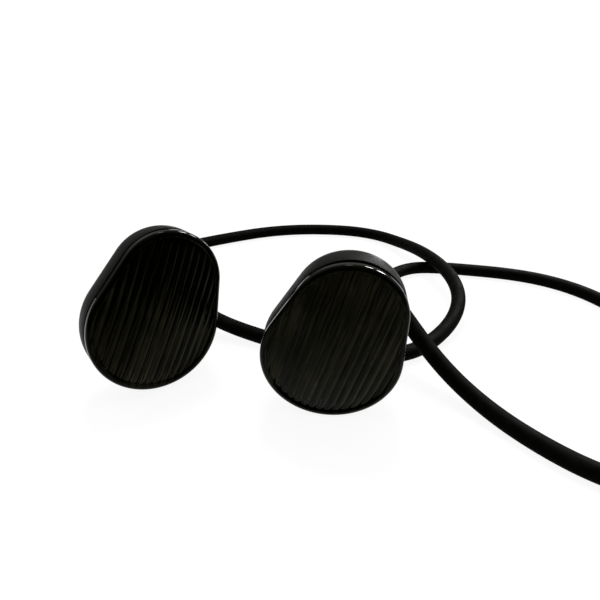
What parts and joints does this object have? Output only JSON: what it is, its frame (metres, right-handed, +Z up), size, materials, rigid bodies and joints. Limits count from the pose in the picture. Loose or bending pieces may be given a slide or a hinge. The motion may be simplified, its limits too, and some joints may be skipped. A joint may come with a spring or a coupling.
{
  "type": "castanets",
  "caption": "Hand castanets on edge: glossy reeded front shells rock on a rib hinge against deep matte rear shells, with a looped cord through each back.",
  "frame": {"origin": "on the standing surface, under the middle of the shells' bounds (cords left out)", "axes": "+X to the right along the pair, +Y to the back where the cords leave, +Z up; the reeded faces look towards -Y"},
  "size_m": [0.2704, 0.2233, 0.0636],
  "materials": {
    "front_shell": "polished, dark brown-black laminate",
    "rear_shell": "satin, charcoal",
    "cord": "matte black, smooth"
  },
  "bodies": {
    "rear": {"left_rear_shell": "rear_shell", "right_rear_shell": "rear_shell", "left_cord": "cord", "right_cord": "cord"},
    "left_front": {"left_front_shell": "front_shell", "left_cord_end_a": "cord", "left_cord_end_b": "cord"},
    "right_front": {"right_front_shell": "front_shell", "right_cord_end_a": "cord", "right_cord_end_b": "cord"}
  },
  "joints": [
    {"name": "left_clap", "type": "hinge", "parent": "rear", "child": "left_front", "pos_m": [-0.02432, 0.00809, 0.05144], "axis": [-0.7568, -0.4548, 0.4695], "range_deg": [0, 8]},
    {"name": "right_clap", "type": "hinge", "parent": "rear", "child": "right_front", "pos_m": [0.04186, -0.02035, 0.0532], "axis": [-0.9576, 0.0838, 0.2756], "range_deg": [0, 8]}
  ]
}
